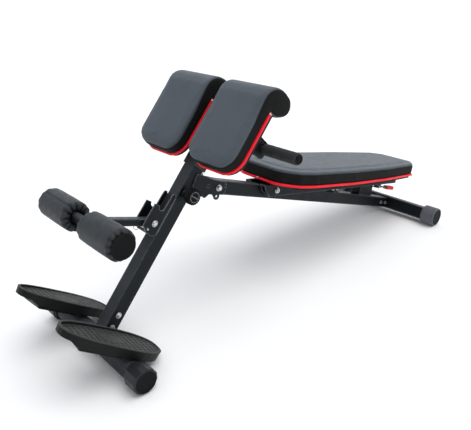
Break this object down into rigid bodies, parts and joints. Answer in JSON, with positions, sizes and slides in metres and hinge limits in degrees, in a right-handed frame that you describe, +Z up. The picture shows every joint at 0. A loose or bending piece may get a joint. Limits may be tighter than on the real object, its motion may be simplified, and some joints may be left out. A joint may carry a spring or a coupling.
{
  "type": "roman chair",
  "caption": "Folding roman chair and sit-up bench: tilted post with two hip pads, leg rollers and foot plates, and a sloping back pad on a hinged beam.",
  "frame": {"origin": "on the floor, under the middle of the machine", "axes": "+X from the foot plates towards the rear foot, +Y to the left of a user facing +X, +Z up"},
  "size_m": [1.5246, 0.4674, 0.641],
  "materials": {
    "black_frame": "satin powder coat",
    "zinc": "zinc plated",
    "cap_plastic": "matte",
    "tread_plastic": "textured",
    "knob_plastic": "fine grain",
    "foam_cover": "coated cover over foam",
    "grip_foam": "closed-cell foam",
    "vinyl": "grained upholstery vinyl over foam",
    "board": "dark painted board",
    "red_plastic": "gloss"
  },
  "bodies": {
    "base": {"front_foot": "black_frame", "front_cap_left": "cap_plastic", "front_cap_right": "cap_plastic", "front_post": "black_frame", "post_sleeve": "cap_plastic", "post_bolt_lower": "zinc", "post_bolt_upper": "zinc", "foot_plate_left": "tread_plastic", "foot_plate_right": "tread_plastic", "pivot_gusset_left": "black_frame", "pivot_gusset_right": "black_frame", "pivot_bolt": "zinc", "knob_boss": "black_frame", "roller_bracket": "black_frame", "arm_bolt": "zinc", "arm_bush": "zinc"},
    "hip_carriage": {"hip_post": "black_frame", "hip_post_plug": "cap_plastic", "hip_cross_plate": "black_frame", "hip_board_left": "board", "hip_board_right": "board", "hip_pad_left": "vinyl", "hip_pad_right": "vinyl", "handle_bracket_left": "black_frame", "handle_bracket_right": "black_frame", "handle_bar": "black_frame", "handle_grip_left": "grip_foam", "handle_grip_right": "grip_foam", "handle_plug_left": "knob_plastic", "handle_plug_right": "knob_plastic"},
    "height_pull": {"height_knob": "knob_plastic", "height_pin": "zinc"},
    "leg_arm": {"leg_arm": "black_frame", "roller_bar": "black_frame", "roller_cap_left": "knob_plastic", "roller_cap_right": "knob_plastic"},
    "roller_left": {"leg_roller_left": "foam_cover"},
    "roller_right": {"leg_roller_right": "foam_cover"},
    "lock_pin": {"arm_lock_pin": "zinc"},
    "pin_ring": {"pin_ring": "zinc"},
    "beam": {"main_beam": "black_frame", "rear_foot": "black_frame", "rear_cap_left": "cap_plastic", "rear_cap_right": "cap_plastic", "rear_bolt_front": "zinc", "rear_bolt_rear": "zinc", "prop_ears": "black_frame", "prop_bolt": "zinc"},
    "back_rest": {"back_pad": "vinyl", "back_board": "board", "back_rails": "black_frame", "back_hinge_bolt": "zinc", "back_stop_block": "black_frame", "prop_rack": "black_frame", "lever_ears": "black_frame", "lever_pin": "zinc"},
    "prop": {"prop_leg": "black_frame", "prop_top_pin": "zinc"},
    "lever": {"release_lever": "black_frame", "lever_grip": "red_plastic"}
  },
  "joints": [
    {"name": "hip_height", "type": "slide", "parent": "base", "child": "hip_carriage", "axis": [0.6494, 0, 0.7604], "range_m": [0, 0.125]},
    {"name": "knob_pull", "type": "slide", "parent": "base", "child": "height_pull", "axis": [0, -1, 0], "range_m": [0, 0.01], "stiffness_N_per_m": 800},
    {"name": "frame_fold", "type": "hinge", "parent": "base", "child": "beam", "pos_m": [-0.2143, 0, 0.3499], "axis": [0, 1, 0], "range_deg": [0, 110]},
    {"name": "back_tilt", "type": "hinge", "parent": "beam", "child": "back_rest", "pos_m": [0.00696, 0, 0.28598], "axis": [0, -1, 0], "range_deg": [0, 11.5]},
    {"name": "prop_swing", "type": "hinge", "parent": "beam", "child": "prop", "pos_m": [0.35089, 0, 0.19122], "axis": [0, -1, 0], "range_deg": [0, 44]},
    {"name": "lever_squeeze", "type": "hinge", "parent": "back_rest", "child": "lever", "pos_m": [0.58908, 0, 0.1379], "axis": [0, -1, 0], "range_deg": [0, 6], "stiffness_Nm_per_rad": 1.5},
    {"name": "leg_arm_swing", "type": "hinge", "parent": "base", "child": "leg_arm", "pos_m": [-0.43195, 0, 0.30905], "axis": [0, 1, 0], "range_deg": [0, 80]},
    {"name": "roller_left_spin", "type": "hinge", "parent": "leg_arm", "child": "roller_left", "pos_m": [-0.61506, 0, 0.36679], "axis": [0, 1, 0], "continuous": true},
    {"name": "roller_right_spin", "type": "hinge", "parent": "leg_arm", "child": "roller_right", "pos_m": [-0.61506, 0, 0.36679], "axis": [0, 1, 0], "continuous": true},
    {"name": "lock_pin_pull", "type": "slide", "parent": "base", "child": "lock_pin", "axis": [0, 1, 0], "range_m": [0, 0.05]},
    {"name": "ring_swing", "type": "hinge", "parent": "lock_pin", "child": "pin_ring", "pos_m": [-0.45667, 0.029, 0.30229], "axis": [1, 0, 0], "range_deg": [-15, 60]}
  ],
  "couplings": [
    {"joint": "prop_swing", "follows": "back_tilt", "ratio": 3.8}
  ]
}
